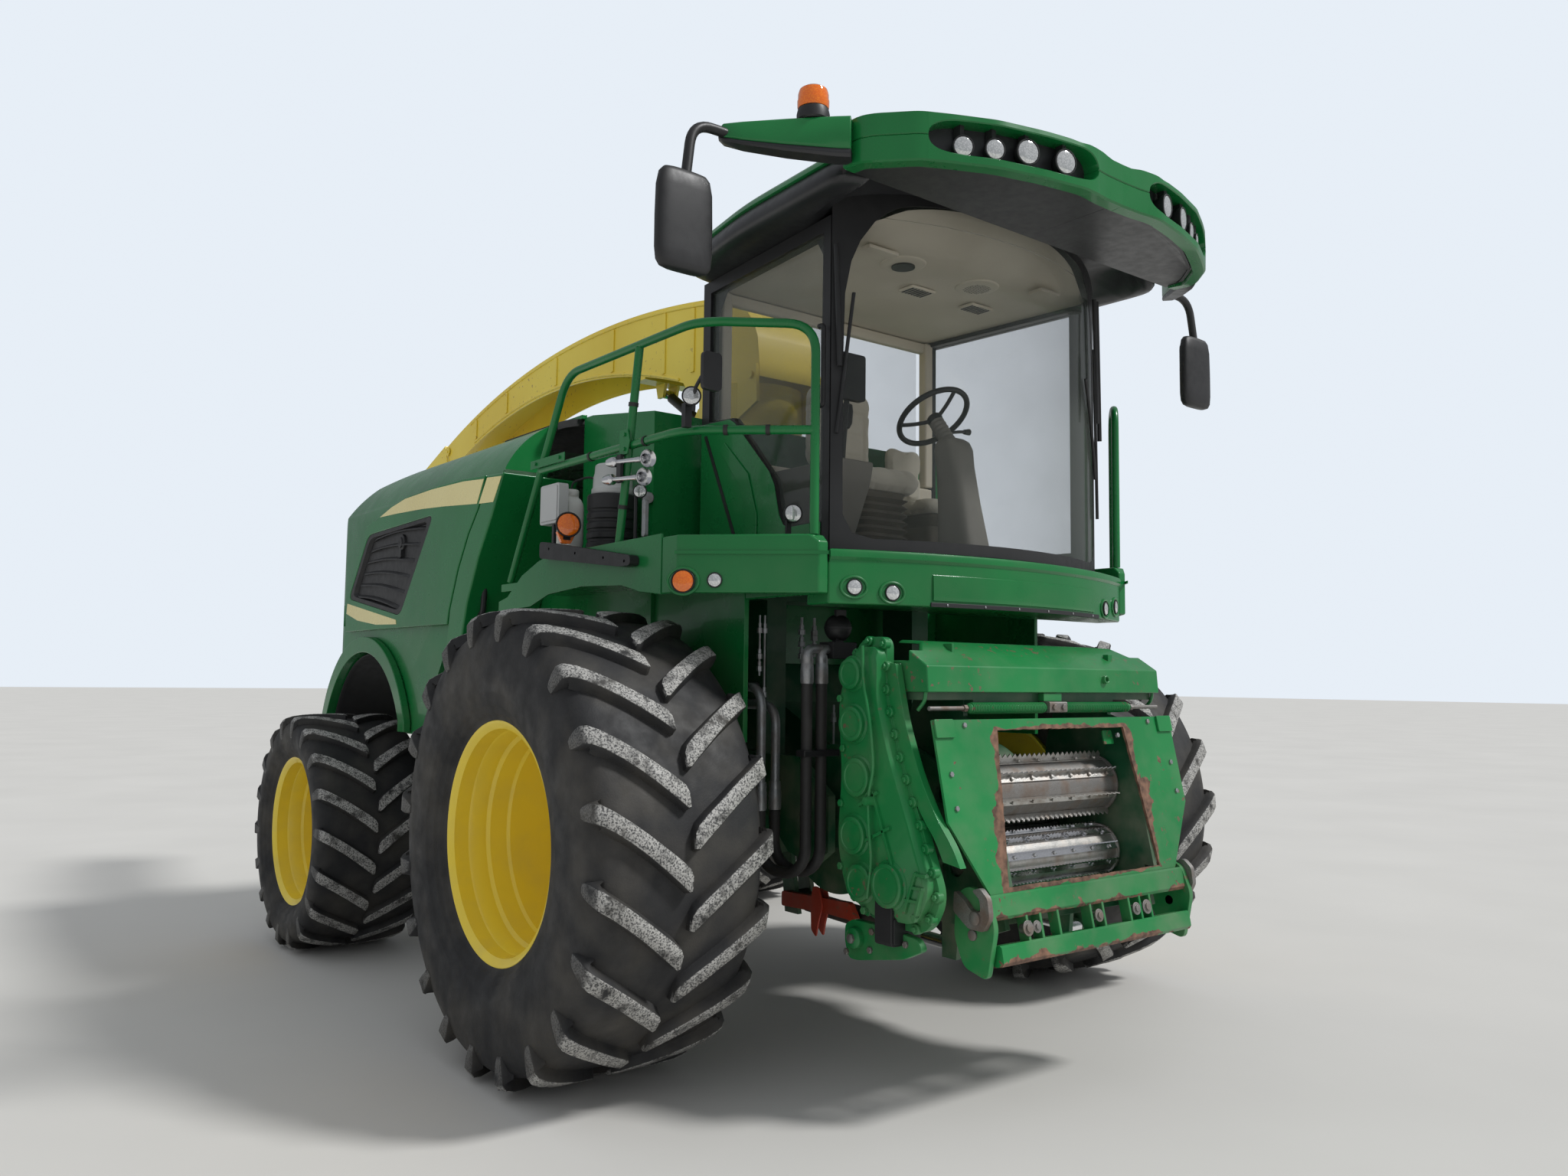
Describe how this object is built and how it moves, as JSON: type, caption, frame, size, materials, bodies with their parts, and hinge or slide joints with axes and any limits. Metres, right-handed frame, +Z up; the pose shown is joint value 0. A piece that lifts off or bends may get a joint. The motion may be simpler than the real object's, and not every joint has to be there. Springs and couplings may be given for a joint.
{
  "type": "forage harvester",
  "caption": "Self-propelled forage harvester with cab, feed rolls, large front wheels, steered rear wheels and a swivelling discharge spout",
  "frame": {"origin": "on the ground, in the middle of the machine's length and width", "axes": "+Z up, the machine's front towards -Y, its right-hand side towards -X"},
  "size_m": [3.872, 6.996, 3.9994],
  "materials": {
    "green_paint": "glossy",
    "dark_green_paint": "satin",
    "yellow_paint": "glossy",
    "black_paint": "satin",
    "tyre_rubber": "matt, dusty",
    "black_plastic": "matt",
    "worn_steel": "worn",
    "steel": "bright",
    "window_glass": "tinted",
    "seat_fabric": "woven",
    "grey_plastic": "matt",
    "hose_rubber": "matt",
    "lamp_plastic": "clear",
    "engine_iron": "dull",
    "red_paint": "worn"
  },
  "bodies": {
    "chassis": {"chassis_frame": "dark_green_paint", "front_axle": "dark_green_paint", "rear_axle": "dark_green_paint", "engine_block": "engine_iron", "fuel_tanks": "black_plastic", "cutterhead_housing": "dark_green_paint", "crop_duct": "dark_green_paint", "hood_shell": "green_paint", "rear_fenders": "green_paint", "rear_grille": "black_plastic", "platforms": "green_paint", "front_apron": "green_paint", "cab_frame": "black_paint", "cab_windows": "window_glass", "cab_roof": "black_plastic", "roof_visor": "green_paint", "mirrors": "black_plastic", "railings": "green_paint", "seats": "seat_fabric", "seat_bases": "grey_plastic", "cab_controls": "grey_plastic", "lamps": "lamp_plastic", "platform_equipment": "black_plastic", "hydraulic_block": "steel", "hydraulic_hoses": "hose_rubber", "safety_bar": "red_paint"},
    "cab_door": {"cab_door": "black_paint", "cab_door_glass": "window_glass"},
    "service_door_right": {"service_door_right": "green_paint", "side_grille_right": "black_plastic"},
    "service_door_left": {"service_door_left": "green_paint", "side_grille_left": "black_plastic"},
    "feed_housing": {"feed_housing": "dark_green_paint", "feed_front_plate": "green_paint", "header_bar": "green_paint", "feed_top_cover": "green_paint", "feed_roll_springs": "green_paint", "gearbox_case": "green_paint"},
    "feed_roll_lower_front": {"feed_roll_lower_front": "steel"},
    "feed_roll_lower_rear": {"feed_roll_lower_rear": "steel"},
    "feed_roll_upper_front": {"feed_roll_upper_front": "worn_steel"},
    "feed_roll_upper_rear": {"feed_roll_upper_rear": "worn_steel"},
    "lift_barrels": {"lift_cylinder_barrels": "black_paint"},
    "lift_rods": {"lift_cylinder_rods": "steel"},
    "front_wheel_right": {"front_rim_right": "yellow_paint", "front_tyre_right": "tyre_rubber"},
    "front_wheel_left": {"front_rim_left": "yellow_paint", "front_tyre_left": "tyre_rubber"},
    "rear_wheel_right": {"rear_rim_right": "yellow_paint", "rear_tyre_right": "tyre_rubber"},
    "rear_wheel_left": {"rear_rim_left": "yellow_paint", "rear_tyre_left": "tyre_rubber"},
    "knuckle_right": {"steering_knuckle_right": "dark_green_paint"},
    "knuckle_left": {"steering_knuckle_left": "dark_green_paint"},
    "tie_rod": {"steering_tie_rod": "black_paint"},
    "spout_turret": {"spout_base": "yellow_paint"},
    "spout": {"spout_chute": "yellow_paint"},
    "spout_flap": {"spout_flap": "yellow_paint"},
    "spout_cylinder_barrel": {"spout_lift_barrel": "black_paint"},
    "spout_cylinder_rod": {"spout_lift_rod": "steel"}
  },
  "joints": [
    {"name": "front_wheel_right_spin", "type": "hinge", "parent": "chassis", "child": "front_wheel_right", "pos_m": [-1.541, -1.702, 0.985], "axis": [1, 0, 0], "continuous": true},
    {"name": "front_wheel_left_spin", "type": "hinge", "parent": "chassis", "child": "front_wheel_left", "pos_m": [1.541, -1.702, 0.985], "axis": [1, 0, 0], "continuous": true},
    {"name": "rear_steer_right", "type": "hinge", "parent": "chassis", "child": "knuckle_right", "pos_m": [-1.05, 1.298, 0.715], "axis": [0, 0, 1], "range_deg": [-25, 25]},
    {"name": "rear_steer_left", "type": "hinge", "parent": "chassis", "child": "knuckle_left", "pos_m": [1.05, 1.298, 0.715], "axis": [0, 0, 1], "range_deg": [-25, 25]},
    {"name": "tie_rod_eye", "type": "hinge", "parent": "knuckle_left", "child": "tie_rod", "pos_m": [1.05, 1.558, 0.725], "axis": [0, 0, 1], "range_deg": [-25, 25]},
    {"name": "rear_wheel_right_spin", "type": "hinge", "parent": "knuckle_right", "child": "rear_wheel_right", "pos_m": [-1.553, 1.298, 0.715], "axis": [1, 0, 0], "continuous": true},
    {"name": "rear_wheel_left_spin", "type": "hinge", "parent": "knuckle_left", "child": "rear_wheel_left", "pos_m": [1.553, 1.298, 0.715], "axis": [1, 0, 0], "continuous": true},
    {"name": "feed_housing_lift", "type": "hinge", "parent": "chassis", "child": "feed_housing", "pos_m": [0, -2.252, 1.05], "axis": [-1, 0, 0], "range_deg": [-10, 12]},
    {"name": "feed_roll_lower_front_spin", "type": "hinge", "parent": "feed_housing", "child": "feed_roll_lower_front", "pos_m": [0, -2.992, 0.93], "axis": [1, 0, 0], "continuous": true},
    {"name": "feed_roll_lower_rear_spin", "type": "hinge", "parent": "feed_housing", "child": "feed_roll_lower_rear", "pos_m": [0, -2.724, 0.93], "axis": [1, 0, 0], "continuous": true},
    {"name": "feed_roll_upper_front_spin", "type": "hinge", "parent": "feed_housing", "child": "feed_roll_upper_front", "pos_m": [0, -2.972, 1.222], "axis": [1, 0, 0], "continuous": true},
    {"name": "feed_roll_upper_rear_spin", "type": "hinge", "parent": "feed_housing", "child": "feed_roll_upper_rear", "pos_m": [0, -2.704, 1.172], "axis": [1, 0, 0], "continuous": true},
    {"name": "lift_cylinder_base", "type": "hinge", "parent": "chassis", "child": "lift_barrels", "pos_m": [0, -1.852, 0.62], "axis": [-1, 0, 0], "range_deg": [-7.5, 9]},
    {"name": "lift_cylinder_slide", "type": "slide", "parent": "lift_barrels", "child": "lift_rods", "axis": [0, -0.9993, -0.0384], "range_m": [-0.09, 0.1]},
    {"name": "spout_swing", "type": "hinge", "parent": "chassis", "child": "spout_turret", "pos_m": [0, -0.902, 3.1], "axis": [0, 0, 1], "range_deg": [-105, 105]},
    {"name": "spout_lift", "type": "hinge", "parent": "spout_turret", "child": "spout", "pos_m": [0, -1.222, 3.345], "axis": [1, 0, 0], "range_deg": [0, 25]},
    {"name": "spout_flap_hinge", "type": "hinge", "parent": "spout", "child": "spout_flap", "pos_m": [0, 3.038, 3.54], "axis": [-1, 0, 0], "range_deg": [0, 45]},
    {"name": "spout_cylinder_base", "type": "hinge", "parent": "spout_turret", "child": "spout_cylinder_barrel", "pos_m": [0, -0.522, 3.16], "axis": [1, 0, 0], "range_deg": [0, 36]},
    {"name": "spout_cylinder_slide", "type": "slide", "parent": "spout_cylinder_barrel", "child": "spout_cylinder_rod", "axis": [0, 0.8407, 0.5416], "range_m": [0, 0.3]},
    {"name": "cab_door_hinge", "type": "hinge", "parent": "chassis", "child": "cab_door", "pos_m": [0.75428, -1.57843, 2.9], "axis": [0, 0, 1], "range_deg": [0, 75]},
    {"name": "service_door_right_hinge", "type": "hinge", "parent": "chassis", "child": "service_door_right", "pos_m": [-1.431, 1.73, 2.07], "axis": [0, 0, -1], "range_deg": [0, 80]},
    {"name": "service_door_left_hinge", "type": "hinge", "parent": "chassis", "child": "service_door_left", "pos_m": [1.431, 1.73, 2.07], "axis": [0, 0, 1], "range_deg": [0, 80]}
  ],
  "couplings": [
    {"joint": "rear_steer_left", "follows": "rear_steer_right", "ratio": 1},
    {"joint": "tie_rod_eye", "follows": "rear_steer_right", "ratio": -1},
    {"joint": "lift_cylinder_base", "follows": "feed_housing_lift", "ratio": 0.632},
    {"joint": "lift_cylinder_slide", "follows": "feed_housing_lift", "m_per_rad": 0.44},
    {"joint": "feed_roll_lower_rear_spin", "follows": "feed_roll_lower_front_spin", "ratio": 1.18},
    {"joint": "feed_roll_upper_front_spin", "follows": "feed_roll_lower_front_spin", "ratio": -0.79},
    {"joint": "feed_roll_upper_rear_spin", "follows": "feed_roll_lower_front_spin", "ratio": -1.22},
    {"joint": "spout_cylinder_base", "follows": "spout_lift", "ratio": 1.4},
    {"joint": "spout_cylinder_slide", "follows": "spout_lift", "m_per_rad": 0.655}
  ]
}
